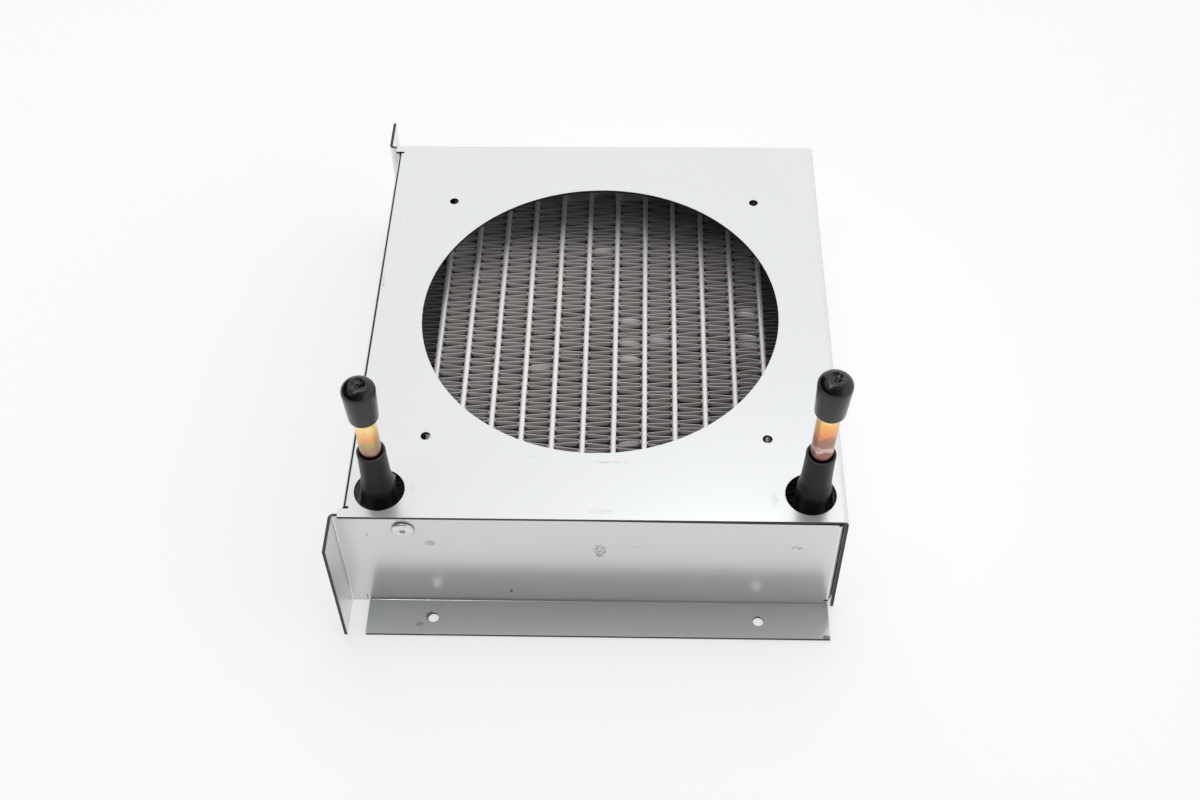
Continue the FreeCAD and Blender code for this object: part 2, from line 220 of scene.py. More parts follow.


# Marks on the sheet: node, centre and half sizes of the spot in millimetres, size of its
# specks, how much of it they cover and how dark they are. Most are scuffs; the two round
# the flange's holes are painted shade of the holes' walls.
SCUFFS_AND_HOLE_SHADE = (
    ("front_bracket", (-49.5, -82.2, 32.6), (3.2, 2.0, 2.4), 0.5, 0.47, 0.55),
    ("front_bracket", (-9.5, -82.2, 30.0), (10.0, 2.0, 6.5), 0.6, 0.34, 0.22),
    ("front_bracket", (1.6, -82.2, 29.5), (3.4, 2.0, 5.5), 0.5, 0.46, 0.75),
    ("front_bracket", (1.6, -82.2, 22.5), (2.4, 2.0, 4.0), 0.6, 0.36, 0.30),
    ("front_bracket", (14.5, -82.2, 31.5), (7.0, 2.0, 2.2), 0.8, 0.36, 0.28),
    ("front_bracket", (60.8, -82.2, 32.1), (3.2, 2.0, 1.3), 0.8, 0.50, 0.60),
    ("front_bracket", (-26.5, -82.2, 6.5), (0.7, 2.0, 1.3), 0.8, 0.70, 0.80),
    ("front_bracket", (-68.0, -82.2, 36.5), (0.9, 2.0, 1.8), 0.6, 0.48, 0.45),
    ("front_bracket", (38.0, -82.2, 19.0), (6.0, 2.0, 3.0), 1.0, 0.36, 0.22),
    ("front_bracket", (-55.0, -91.5, 1.0), (2.0, 1.5, 1.0), 0.5, 0.50, 0.60),
    # Painted shade: dark crescents round the flange's two holes, where the hole walls are in shade.
    ("front_bracket", (-51.7, -88.4, 1.0), (2.5, 2.3, 1.0), 0.6, 0.72, 0.75),
    ("front_bracket", (50.6, -88.5, 1.0), (2.3, 2.1, 1.0), 0.6, 0.68, 0.55),
    ("front_bracket", (72.0, -94.4, 1.0), (1.8, 1.0, 1.5), 0.8, 0.80, 0.85),
    ("shroud", (-16.8, -59.2, 46.0), (6.5, 0.8, 1.0), 0.6, 0.38, 0.22),
    ("shroud", (5.0, -61.2, 46.0), (10.5, 0.7, 1.0), 0.7, 0.42, 0.35),
    ("shroud", (2.0, -79.5, 46.0), (7.0, 1.6, 1.0), 0.5, 0.42, 0.32),
    ("shroud", (-54.5, -71.5, 46.0), (1.4, 3.4, 1.0), 0.5, 0.38, 0.22),
    ("shroud", (53.6, -74.5, 46.0), (1.8, 4.2, 1.0), 0.5, 0.42, 0.40),
    ("shroud", (-73.0, 14.5, 46.0), (0.6, 6.5, 1.0), 0.6, 0.48, 0.35),
    ("shroud", (-70.6, 43.0, 46.0), (0.5, 5.0, 1.0), 0.7, 0.42, 0.22),
    ("shroud", (70.5, 24.0, 46.0), (1.0, 7.0, 1.0), 0.8, 0.40, 0.22),
)


def scuff_and_shade_share(tree, place, node):
    """Share by which the scuffs and painted shade of one node darken each place of its sheet."""
    worn_and_shaded = 0.0
    for owner, centre, half, speck, cover, depth in SCUFFS_AND_HOLE_SHADE:
        if owner != node:
            continue
        offset = add(tree, "ShaderNodeVectorMath", {
            0: place, 1: Vector(centre) * MM}, operation="SUBTRACT")
        scaled = add(tree, "ShaderNodeVectorMath", {
            0: offset.outputs[0], 1: Vector(half) * MM}, operation="DIVIDE")
        reach = add(tree, "ShaderNodeVectorMath", {0: scaled.outputs[0]}, operation="LENGTH")
        inside = remap(tree, reach.outputs["Value"], (1.0, 0.45), (0.0, cover))
        level = calculate(tree, "ADD", mottle(tree, place, speck, 2.0), inside)
        spot = remap(tree, level, (0.9, 1.02), (0.0, depth))
        worn_and_shaded = calculate(tree, "MAXIMUM", spot, worn_and_shaded)
    return worn_and_shaded


def zinc_coated_steel(node, sheet):
    """Zinc-coated steel sheet of one node, with that node's own scuffs and painted shade."""
    # Electroplated and passivated: a pale satin grey that mirrors the room softly under a
    # milky film, clouded where the coating is thicker, with faint grain along the rolling
    # direction.
    material, tree, shader, place = start_material("zinc_coated_steel_" + node, 0.62, 0.3)
    cloud = mottle(tree, place, 26)
    stretched = add(tree, "ShaderNodeMapping", {"Vector": place, "Scale": (0.05, 1.0, 1.0)})
    grain = mottle(tree, stretched.outputs["Vector"], 0.9)
    uneven = calculate(tree, "MULTIPLY", cloud, grain)
    tone = blend_colour(tree, uneven, sheet.zinc[:], darker(sheet.zinc, 0.97))
    # Scuffs, and painted shade round the flange's holes, darken the tone.
    paint(tree, shader, scuff_and_shade_share(tree, place, node), tone, sheet.scuff_and_shade[:])
    gloss = remap(tree, cloud, (0.3, 0.7), (0.245, 0.262))
    tree.links.new(gloss, shader.inputs["Roughness"])
    roughen(tree, shader, grain, 0.01, 0.05)
    return material


def burnished_zinc(sheet):
    """Zinc along the bends of the sheet."""
    # The folding die rubbed the milky film away, so the bends are bare bright metal that
    # mirrors the room more sharply, with faint streaks.
    material, tree, shader, place = start_material("burnished_zinc_bend", 1.0, 0.2)
    streaks = mottle(tree, place, 1.4)
    paint(tree, shader, streaks, sheet.zinc[:], darker(sheet.zinc, 0.8))
    return material


def sheared_steel(sheet):
    """Sheared edge of the sheet."""
    # Bare steel, burnished at the top and torn below by the punch: darker and browner than
    # the zinc, with fine lines through the sheet.
    material, tree, shader, place = start_material("sheared_steel_edge", 1.0, 0.5)
    tears = mottle(tree, place, 0.5, 4.0)
    paint(tree, shader, tears, sheet.sheared[:], darker(sheet.sheared, 0.45))
    return material


def brazed_aluminium_tube(core):
    """Flat tube's extruded aluminium after brazing."""
    # The flux leaves a whitish matt film on the bright metal, so it looks pale from any side.
    material, tree, shader, place = start_material("flux_brazed_aluminium_tube", 0.6, 0.5)
    film = mottle(tree, place, 3.0, 4.0)
    paint(tree, shader, film, core.tube[:], darker(core.tube, 0.86))
    return material


def brazed_fin_stock(core):
    """Rolled aluminium fin strip after brazing."""
    # Thin rolled strip under a matt film of flux, slightly brown after the furnace, with
    # stains. A painted shade darkens it down in the core, in the folds by the tube, and
    # under the opening's rim at both sides and at the back.
    material, tree, shader, place = start_material("brazed_aluminium_fin_stock", 0.15, 0.45)
    stain = mottle(tree, place, 5.0, 5.0)
    strip = blend_colour(tree, stain, core.fin[:], darker(core.fin, 0.85))
    painted_shade = add(tree, "ShaderNodeAttribute", attribute_name="painted_shade").outputs["Fac"]
    paint(tree, shader, painted_shade, strip, darker(core.fin, 0.1))
    return material


def brazing_alloy():
    """Phosphorus-copper brazing alloy as it froze."""
    # Greyish bronze with a rippled skin.
    material, tree, shader, place = start_material("brazing_alloy", 1.0, 0.45)
    paint(tree, shader, mottle(tree, place, 1.2), linear("#8E7A68"), linear("#5E5148"))
    return material


# Tints of the copper between the sleeve and the cap: share of the way up and colour.
# The palest tints near the cap are partly a painted highlight.
COPPER_TINTS = {
    "left": (
        (0.12, "#B48E7C"), (0.24, "#B0987A"), (0.40, "#C8A874"), (0.54, "#F0B478"), (0.66, "#F6C684"),
        (0.82, "#FFE2A0")),
    "right": (
        (0.17, "#A07468"), (0.25, "#DCC8BA"), (0.32, "#A88478"), (0.50, "#AC8474"), (0.62, "#F0A070"),
        (0.80, "#FABC78")),
}


def heat_tinted_copper(side, pipes, low, high):
    """Annealed copper tube between two heights, tinted by the brazing flame."""
    # Straw gold where the flame only annealed it, painted paler towards the cap as a painted
    # highlight, browned and pinkish towards the joint, with cloudy borders between the tints.
    material, tree, shader, place = start_material("heat_tinted_copper_" + side, 1.0, 0.27)
    height = add(tree, "ShaderNodeSeparateXYZ", {0: place}).outputs["Z"]
    share = remap(tree, height, (low, high), (0.0, 1.0))
    drift = remap(tree, mottle(tree, place, 2.6, 4.0), (0.3, 0.7), (-0.07, 0.07))
    ramp = add(tree, "ShaderNodeValToRGB", {"Fac": calculate(tree, "ADD", share, drift)})
    middle = [(position, linear(code)) for position, code in COPPER_TINTS[side]]
    tints = ((0.0, pipes.copper_tinted[:]), *middle, (1.0, pipes.copper_straw_and_highlight[:]))
    while len(ramp.color_ramp.elements) < len(tints):
        ramp.color_ramp.elements.new(0.5)
    for element, (position, tint) in zip(ramp.color_ramp.elements, tints):
        element.position = position
        element.color = tint
    tree.links.new(ramp.outputs["Color"], shader.inputs["Base Color"])
    return material


def shrunk_polyolefin(pipes):
    """Heat-shrunk polyolefin sleeve."""
    # Black with a soft sheen, faintly wrinkled round the tube where it drew in.
    material, tree, shader, place = start_material("heat_shrunk_polyolefin", 0.0, 0.36)
    shader.inputs["IOR"].default_value = 1.33
    shader.inputs["Base Color"].default_value = pipes.sleeve[:]
    flattened = add(tree, "ShaderNodeMapping", {"Vector": place, "Scale": (1.0, 1.0, 2.5)})
    roughen(tree, shader, mottle(tree, flattened.outputs["Vector"], 1.6), 0.25, 0.1)
    return material


def cut_rim_painted_sheen():
    """Cut end of a heat-shrunk sleeve, with a painted sheen."""
    # The knife leaves the rim matt with fine notches. Its grey is a painted sheen for the light its rounded
    # lip catches.
    material, tree, shader, place = start_material("cut_sleeve_rim_painted_sheen", 0.0, 0.6)
    paint(tree, shader, mottle(tree, place, 0.8), linear("#1E1E1F"), linear("#5A5656"))
    return material


def dip_moulded_vinyl(pipes):
    """Dip-moulded vinyl of the caps."""
    # Soft black vinyl with a wet gloss and a faint orange peel.
    material, tree, shader, place = start_material("dip_moulded_vinyl", 0.0, 0.2)
    shader.inputs["Base Color"].default_value = pipes.cap[:]
    roughen(tree, shader, mottle(tree, place, 1.1, 2.0), 0.1, 0.06)
    return material


def tumbled_aluminium(pipes):
    """Tumbled aluminium of the blind rivets."""
    # Cold-headed and tumbled: bright satin with small dents.
    material, tree, shader, place = start_material("tumbled_aluminium_rivet", 1.0, 0.3)
    dents = mottle(tree, place, 0.8)
    paint(tree, shader, dents, pipes.rivet[:], darker(pipes.rivet, 0.8))
    roughen(tree, shader, dents, 0.25, 0.06)
    return material


def finished_mesh(work, name, smooth_below):
    """Mesh from a bmesh, smooth except across edges sharper than an angle."""
    bmesh.ops.recalc_face_normals(work, faces=work.faces)
    for face in work.faces:
        face.smooth = True
    mesh = bpy.data.meshes.new(name)
    work.to_mesh(mesh)
    work.free()
    mesh.set_sharp_from_angle(angle=smooth_below)
    return mesh


def add_piece(name, mesh, body, slot, nodes, *materials):
    """Object for one piece, riding on its body and standing for its solids."""
    for material in materials:
        mesh.materials.append(material)
    piece = bpy.data.objects.new(name, mesh)
    bpy.context.scene.collection.objects.link(piece)
    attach(piece, body)
    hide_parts(*nodes)
    return piece


def refinish(node, material):
    """Solid that keeps its shape and gets a real finish."""
    solid = frame["nodes"][node]
    for holder in solid.material_slots:
        holder.link = "OBJECT"
        holder.material = material


def folded_sheet(node, sheet):
    """Copy of a folded sheet with its bends and cut edges told apart and the edges worn."""
    work = bmesh.new()
    work.from_mesh(frame["nodes"][node].data)
    bmesh.ops.remove_doubles(work, verts=work.verts, dist=WELD)
    tree = BVHTree.FromBMesh(work)
    # A face that has the sheet's other side right behind it is a wide face, or a bend where
    # it leans. Any other face is a cut edge.
    wide, cut, bent = 0, 1, 2
    reach = 1.3 * sheet.thickness
    upright = 0.998
    for face in work.faces:
        behind = face.calc_center_median() - face.normal * WELD
        through = tree.ray_cast(behind, -face.normal, reach)[0]
        leans = max(abs(share) for share in face.normal) <= upright
        face.material_index = cut if through is None else bent if leans else wide
    bmesh.ops.dissolve_limit(
        work, angle_limit=math.radians(0.5), verts=work.verts, edges=work.edges, delimit={"MATERIAL"})
    sharp_above = math.radians(40)
    sharp = [edge for edge in work.edges if edge.calc_face_angle(0.0) > sharp_above]
    bmesh.ops.bevel(
        work, geom=sharp, offset=sheet.edge_break, segments=2, profile=0.5, affect="EDGES",
        clamp_overlap=True, material=-1)
    return finished_mesh(work, node + "_sheet", sharp_above)


def run_centres():
    """X of every straight run of the flat tube, half way between the fin strips beside it."""
    strips = sorted(name for name in frame["nodes"] if name.startswith("fin_strip_"))
    boxes = [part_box(name) for name in strips]
    return [(left[1].x + right[0].x) / 2 for left, right in zip(boxes, boxes[1:])]


def serpentine_line(runs, low, high, half_thickness):
    """Stations (x, y, heading) along the flat tube's centre line, from left to right."""
    bend = (runs[1] - runs[0]) / 2
    front = low.y + bend + half_thickness
    rear = high.y - bend - half_thickness
    header = (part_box("left_header")[0].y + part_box("left_header")[1].y) / 2
    inside_header = header + 1.1 * MM
    run_steps = 48
    bend_steps = 12
    stations = []
    for index, x in enumerate(runs):
        first = index == 0
        last = index == len(runs) - 1
        backward = index % 2 == 0
        near = inside_header if first or last else front
        start, end = (near, rear) if backward else (rear, near)
        heading = math.pi / 2 if backward else -math.pi / 2
        for step in range(run_steps + 1):
            stations.append((x, start + (end - start) * step / run_steps, heading))
        if last:
            break
        centre = Vector((x + bend, rear if backward else front))
        turn = -math.pi if backward else math.pi
        for step in range(1, bend_steps):
            angle = turn * step / bend_steps
            spoke = math.pi + angle
            stations.append((
                centre.x + bend * math.cos(spoke), centre.y + bend * math.sin(spoke), heading + angle))
    return stations


def flat_tube_mesh(core):
    """Flat tube with rounded noses, swept along its bends."""
    low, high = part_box("serpentine_tube")
    runs = run_centres()
    half = (high.x - low.x - (runs[-1] - runs[0])) / 2
    nose_steps = 10
    section = []
    for centre, first_angle in ((high.z - core.nose, 0.0), (low.z + core.nose, math.pi)):
        for step in range(nose_steps + 1):
            angle = first_angle + math.pi * step / nose_steps
            section.append((half * math.cos(angle), centre + core.nose * math.sin(angle)))
    work = bmesh.new()
    rings = []
    for x, y, heading in serpentine_line(runs, low, high, half):
        across = Vector((math.sin(heading), -math.cos(heading)))
        stray = core.meander * noise.noise(Vector((x, y, 0.0)) * per_mm(14))
        middle = Vector((x, y)) + across * stray
        rings.append([
            work.verts.new((middle.x + across.x * offset, middle.y + across.y * offset, height))
            for offset, height in section
        ])
    for near, far in zip(rings, rings[1:]):
        for index in range(len(section)):
            work.faces.new((near[index - 1], near[index], far[index], far[index - 1]))
    work.faces.new(rings[0])
    work.faces.new(rings[-1][::-1])
    return finished_mesh(work, "flat_tube", math.radians(35))


# Bent fins: strip counted from the left, place along Y, how far the dent reaches along Y,
# how far it pushes the fins' tops back, how far down, and how deep it reaches into the
# core, in millimetres.
DENTS = (
    (8, 12.0, 0.9, 1.5, 0.5, 2.0),
    (8, 3.5, 0.7, 1.0, 0.3, 2.0),
    (8, 1.0, 0.9, 1.3, 0.4, 2.0),
    (8, -5.3, 0.9, 1.7, 0.6, 2.0),
    (8, 57.0, 1.2, 1.0, 0.3, 2.0),
    (8, -41.5, 0.9, 1.4, 0.4, 2.0),
    (9, 5.8, 0.9, 1.1, 0.3, 2.0),
    (9, 3.4, 0.7, 0.9, 0.3, 1.6),
    (5, -9.6, 0.9, 1.1, 0.3, 1.8),
    (7, 45.9, 0.9, 1.1, 0.3, 1.8),
    (10, 57.5, 1.6, 1.0, 0.3, 2.0),
    (12, 44.0, 4.0, 0.7, 0.2, 12.0),
    (12, 36.0, 4.0, 0.9, 0.2, 12.0),
    (12, 28.0, 4.0, 0.9, 0.2, 12.0),
    (12, 21.0, 3.0, 0.6, 0.2, 12.0),
    (12, 17.8, 0.9, 1.2, 0.5, 2.0),
    (12, 14.8, 0.9, 1.4, 0.5, 2.0),
    (12, 10.0, 3.0, 0.5, 0.2, 12.0),
    (12, 4.4, 0.9, 1.4, 0.5, 2.0),
    (12, 1.0, 0.9, 1.1, 0.4, 2.0),
    (12, -5.0, 4.0, 0.8, 0.2, 12.0),
    (12, -12.0, 4.0, 0.8, 0.2, 12.0),
    (12, -20.0, 5.0, 0.5, 0.1, 12.0),
)


def crests(start, end, pitch, strip):
    """Places along Y of a fin strip's folds, a little uneven as they left the rolls."""
    count = int((end - start) / pitch)
    slack = (end - start) - count * pitch
    places = []
    for index in range(count + 1):
        y = start + slack / 2 + index * pitch
        uneven = noise.noise(Vector((strip * 7.3, index * 0.83, 0.5)))
        places.append(y + 0.35 * pitch * uneven if 0 < index < count else y)
    return places


def fold_line(places, left, right, strip, core):
    """Middle line of a fin strip: points with their normals and the place of their leg."""
    # An arc round every fold, joined by straight legs.
    fold_steps = 5
    span = right - left
    line = []
    for index, y in enumerate(places):
        on_right = (index + strip) % 2 == 0
        towards = 1 if on_right else -1
        pivot = right if on_right else left
        leans = []
        for other in (index - 1, index + 1):
            step = abs(places[min(max(other, 0), len(places) - 1)] - y) or core.fin_pitch
            slope = math.atan2(step, span)
            tangent = math.asin(min(1.0, 2 * core.crest_radius / math.hypot(step, span)))
            leans.append(max(0.0, slope - tangent))
        first_angle = leans[0] - math.pi / 2
        last_angle = math.pi / 2 - leans[1]
        for step in range(fold_steps + 1):
            angle = first_angle + (last_angle - first_angle) * step / fold_steps
            normal = Vector((towards * math.cos(angle), math.sin(angle)))
            line.append((Vector((pivot, y)) + normal * core.crest_radius, normal * towards, y))
        if index + 1 < len(places):
            here, normal = line[-1][:2]
            there = Vector((left if on_right else right, places[index + 1]))
            lean = leans[1]
            next_normal = Vector((-towards * math.sin(lean), -math.cos(lean)))
            arrive = there + next_normal * core.crest_radius
            for share in (0.1, 0.3, 0.5, 0.7, 0.9):
                line.append((here.lerp(arrive, share), normal, (y + places[index + 1]) / 2))
    return line


def bent_legs(strip, places):
    """Dents of one strip, each moved onto its nearest leg."""
    legs = [(near + far) / 2 for near, far in zip(places, places[1:])]
    return [
        (min(legs, key=lambda leg: abs(leg - y * MM)), *sizes)
        for owner, y, *sizes in DENTS if owner == strip
    ]


def leg_rows(deepest):
    """Depth of each row of a leg, its painted shade in the open and its painted shade in the folds."""
    return (
        (0.0, 0.0, 0.0),
        (0.5 * MM, 0.0, 0.1),
        (1.0 * MM, 0.0, 0.7),
        (1.5 * MM, 0.12, 0.9),
        (1.9 * MM, 0.95, 1.0),
        (deepest - 2.0 * MM, 0.95, 1.0),
        (deepest - 1.4 * MM, 0.1, 0.1),
        (deepest, 0.0, 0.0),
    )


def bent_rows(pushes, rows, top):
    """How far each row of a leg is pushed back, and the height it keeps."""
    moved = []
    for depth, _, _ in rows:
        back = sum(push * max(0.0, 1 - depth / deep) ** 0.7 for push, _, deep in pushes)
        down = sum(sink * max(0.0, 1 - depth / deep) ** 2 for _, sink, deep in pushes)
        moved.append((back, top - depth - down))
    return moved


def painted_rim_shade(x, y):
    """Share of painted shade under the opening's rim: at both sides and at the back."""
    outermost_strips = 54 * MM
    back_edge = 46 * MM
    if abs(x) > outermost_strips:
        return 0.72
    return 0.5 * clamped((y - back_edge) / (9 * MM))


def fin_strip_mesh(strip, node, core):
    """Zigzag ribbon of rounded folds between two runs of the tube."""
    low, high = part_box(node)
    half_gauge = core.fin_gauge / 2
    left = low.x + half_gauge + core.crest_radius
    right = high.x - half_gauge - core.crest_radius
    places = crests(low.y + core.crest_radius, high.y - core.crest_radius, core.fin_pitch, strip)
    top = high.z - core.fin_below_nose
    deepest = top - (low.z + core.fin_below_nose)
    rows = leg_rows(deepest)
    dents = bent_legs(strip, places)
    middle_x = (low.x + high.x) / 2
    half_width = (high.x - low.x) / 2
    work = bmesh.new()
    # Painted shade, kept on the points for the fin material.
    painted_shade_layer = work.verts.layers.float.new("painted_shade")
    columns = []
    for point, normal, leg in fold_line(places, left, right, strip, core):
        aside = abs(point.x - middle_x) / half_width
        flat = max(0.0, 1 - aside ** 2)
        wave = noise.noise(Vector((strip * 3.1, point.y * per_mm(2.2), 4.0)))
        pushes = [(0.10 * MM * wave * flat, 0.08 * MM * abs(wave), 2.6 * MM)]
        for bent_leg, reach, pushed, folded, deep in dents:
            near = flat * math.exp(-((leg - bent_leg) / (reach * MM)) ** 2)
            pushes.append((pushed * MM * near, folded * MM * near, deep * MM))
        moved = bent_rows(pushes, rows, top)
        column = [
            [
                work.verts.new((
                    point.x + normal.x * side * half_gauge,
                    point.y + normal.y * side * half_gauge + back, height))
                for back, height in moved
            ]
            for side in (1, -1)
        ]
        # Painted shade: darker down in the core, in the folds by the tube and under the opening's rim.
        in_fold = clamped((aside - 0.72) / 0.16)
        rim_shade = painted_rim_shade(middle_x, point.y)
        for face in column:
            for vert, (depth, in_open, by_tube) in zip(face, rows):
                painted_shade = in_open + (by_tube - in_open) * in_fold
                vert[painted_shade_layer] = max(painted_shade, rim_shade if depth < deepest / 2 else 0.0)
        columns.append(column)
    for near, far in zip(columns, columns[1:]):
        for row in range(len(rows) - 1):
            work.faces.new((near[0][row], near[0][row + 1], far[0][row + 1], far[0][row]))
            work.faces.new((near[1][row + 1], near[1][row], far[1][row], far[1][row + 1]))
        work.faces.new((near[1][0], near[0][0], far[0][0], far[1][0]))
        work.faces.new((near[0][-1], near[1][-1], far[1][-1], far[0][-1]))
    for column in (columns[0], columns[-1]):
        work.faces.new(column[0] + column[1][::-1])
    return finished_mesh(work, node + "_folds", math.radians(50))


def pipe_axis(side):
    """Matrix that takes a piece turned about Z, at its true heights, onto its tube's axis."""
    joint = next(joint for joint in frame["joints"] if joint["child"] == side + "_cap")
    lean = math.atan2(joint["axis"][0], joint["axis"][2])
    low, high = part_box(side + "_header_plug")
    foot = (low + high) / 2
    cap_low, cap_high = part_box(side + "_cap")
    sideways = (cap_low.x + cap_high.x) / 2 - foot.x
    middle = (cap_low.z + cap_high.z) / 2
    knee = middle - sideways / math.tan(lean) if lean else 0.0
    to_foot = Matrix.Translation((foot.x, foot.y, knee))
    return to_foot @ Matrix.Rotation(lean, 4, "Y") @ Matrix.Translation((0.0, 0.0, -knee))


def along_axis(node, axis):
    """Lowest and highest station and largest radius of a solid, seen along its tube's axis."""
    to_axis = axis.inverted()
    points = [to_axis @ vertex.co for vertex in frame["nodes"][node].data.vertices]
    heights = [point.z for point in points]
    return min(heights), max(heights), max(math.hypot(point.x, point.y) for point in points)


def rounded(corners):
    """Points through (radius, height, fillet) corners, with the fillets as arcs."""
    arc_steps = 6
    points = []
    for index, (radius, height, fillet) in enumerate(corners):
        here = Vector((radius, height))
        if not fillet:
            points.append(here)
            continue
        before = (Vector(corners[index - 1][:2]) - here).normalized()
        after = (Vector(corners[(index + 1) % len(corners)][:2]) - here).normalized()
        half = before.angle(after) / 2
        centre = here + (before + after).normalized() * (fillet / math.sin(half))
        start = here + before * (fillet / math.tan(half)) - centre
        end = here + after * (fillet / math.tan(half)) - centre
        first_angle = math.atan2(start.y, start.x)
        sweep = math.remainder(math.atan2(end.y, end.x) - first_angle, math.tau)
        for step in range(arc_steps + 1):
            angle = first_angle + sweep * step / arc_steps
            points.append(centre + Vector((math.cos(angle), math.sin(angle))) * fillet)
    return points


def turned_mesh(name, profile, axis, ring=False, segments=64, reshape=None):
    """Mesh turned about Z from (radius, height) points, reshaped, then set on its axis."""
    work = bmesh.new()
    verts = [work.verts.new((point[0], 0.0, point[1])) for point in profile]
    pairs = list(zip(verts, verts[1:])) + ([(verts[-1], verts[0])] if ring else [])
    edges = [work.edges.new(pair) for pair in pairs]
    bmesh.ops.spin(
        work, geom=verts + edges, axis=(0, 0, 1), cent=(0, 0, 0), steps=segments,
        angle=math.tau, use_merge=True)
    bmesh.ops.remove_doubles(work, verts=work.verts, dist=WELD)
    if reshape:
        for vert in work.verts:
            vert.co = reshape(vert.co)
    bmesh.ops.transform(work, matrix=axis, verts=work.verts)
    return finished_mesh(work, name, math.radians(32))


def sleeve_profile(side, axis):
    """Ring profile of a heat-shrunk sleeve: wide on the header, open round the stub."""
    low, high, widest = along_axis(side + "_sleeve", axis)
    header_top = along_axis(side + "_header", axis)[1]
    mouth = along_axis(side + "_copper_stub", axis)[2] + 0.26 * MM
    wall_low = 0.95 * MM
    wall_high = 0.8 * MM
    wide = widest + 0.2 * MM - wall_low
    drawn = mouth + 0.22 * MM
    lip_height = 0.4 * MM
    shoulder = header_top + 0.4 * MM
    shoulder_height = 5.2 * MM
    flare = 0.1 * MM
    steps = 10
    line = [(low, wide, wall_low)]
    for step in range(steps + 1):
        share = step / steps
        line.append((
            shoulder + shoulder_height * share, wide + (drawn - wide) * eased(share),
            wall_low + (wall_high - wall_low) * eased(share)))
    waist = line[-1][0]
    for step in range(1, steps + 1):
        share = step / steps
        line.append((
            waist + (high - lip_height - waist) * share,
            drawn + (mouth - 0.06 * MM - drawn) * share + flare * share ** 6, wall_high))
    inner = [Vector((radius, height)) for height, radius, _ in line]
    outer = [Vector((radius + wall, height)) for height, radius, wall in line]
    rim = (inner[-1] + outer[-1]) / 2
    lip = [
        rim + Vector((-wall_high / 2 * math.cos(angle), lip_height * math.sin(angle)))
        for angle in [math.pi * step / 8 for step in range(1, 8)]
    ]
    return inner + lip + outer[::-1]


def cap_profile(side, axis):
    """Profile of a pull-off cap: domed crown, body that narrows to a rounded mouth."""
    low, high, radius = along_axis(side + "_cap", axis)
    bore = along_axis(side + "_copper_stub", axis)[2] + 0.06 * MM
    crown = 3.3 * MM
    fullness = 2.15
    mouth = radius - 0.55 * MM
    bore_top = high - 2.0 * MM
    steps = 30
    dome = []
    for step in range(steps + 1):
        reach = math.sin(math.pi / 2 * step / steps)
        drop = crown * (1 - (1 - reach ** fullness) ** (1 / fullness))
        dome.append(Vector((radius * reach, high - drop)))
    body = rounded([
        (radius, high - crown, 0.0),
        (mouth, low, 0.8 * MM),
        (bore, low, 0.3 * MM),
        (bore, bore_top, 0.0),
        (0.0, bore_top, 0.0),
    ])
    return dome[:-1] + body


def pinched_crown(side, axis):
    """Reshaping that puts the wavy-lipped dimple of the dipping into a cap's crown."""
    high = along_axis(side + "_cap", axis)[1]
    turn = 0.6 if side == "left" else 2.4
    crown_low = high - 1.8 * MM
    crown_radius = 3.7 * MM

    def reshape(place):
        across = place.x - 0.15 * MM
        along = place.y + 0.25 * MM
        reach = math.hypot(across, along)
        if place.z < crown_low or reach > crown_radius:
            return place
        angle = math.atan2(along, across) + turn
        lip = 2.3 * MM * (1 + 0.08 * math.cos(3 * angle) + 0.05 * math.cos(5 * angle + 1.0))
        inside = clamped((lip - reach) / (1.1 * MM) + 0.3)
        far_side = 0.55 + 0.45 * max(-1.0, along / lip)
        hollow = 0.85 * MM * far_side * eased(inside)
        pit = 1.0 * MM * math.exp(-(reach / (0.95 * MM)) ** 2)
        wave = 0.1 * MM * noise.noise(place * per_mm(1.8)) * math.exp(-(reach / (2.4 * MM)) ** 4)
        return place + Vector((0.0, 0.0, wave - hollow - pit))

    return reshape


def stub_profile(side, axis):
    """Ring profile of a copper stub with its end deburred."""
    low, high, radius = along_axis(side + "_copper_stub", axis)
    wall = 0.8 * MM
    deburred = 0.2 * MM
    return rounded([
        (radius - wall, low, 0.0),
        (radius, low, 0.0),
        (radius, high, deburred),
        (radius - wall, high, deburred),
    ])


def braze_profile(side, axis):
    """Ring profile of the concave fillet of brazing alloy round a stub."""
    low, high, radius = along_axis(side + "_braze_joint", axis)
    inner = along_axis(side + "_copper_stub", axis)[2] + 0.01 * MM
    steps = 6
    fillet = []
    for step in range(steps + 1):
        angle = math.pi / 2 * step / steps
        fillet.append(Vector((
            radius - (radius - inner) * math.sin(angle),
            high - (high - low) * math.cos(angle),
        )))
    return [Vector((inner, low))] + fillet


def rivet_profile(head_height, head_radius, shank_radius, length_behind):
    """Profile of a set blind rivet, its head up, with the mandrel's socket."""
    socket_floor = head_height - 0.75 * MM
    return rounded([
        (0.0, socket_floor, 0.0),
        (0.72 * MM, socket_floor, 0.0),
        (0.86 * MM, head_height - 0.05 * MM, 0.12 * MM),
        (1.5 * MM, head_height, 0.5 * MM),
        (head_radius - 0.1 * MM, 0.9 * head_height, 0.55 * MM),
        (head_radius, 0.34 * MM, 0.06 * MM),
        (shank_radius + 0.5 * MM, 0.26 * MM, 0.1 * MM),
        (shank_radius, 0.0, 0.0),
        (shank_radius, -0.62 * length_behind, 0.0),
        (1.5 * shank_radius, -0.8 * length_behind, 0.7 * MM),
        (0.9 * shank_radius, -length_behind, 0.3 * MM),
        (0.0, -length_behind, 0.0),
    ])


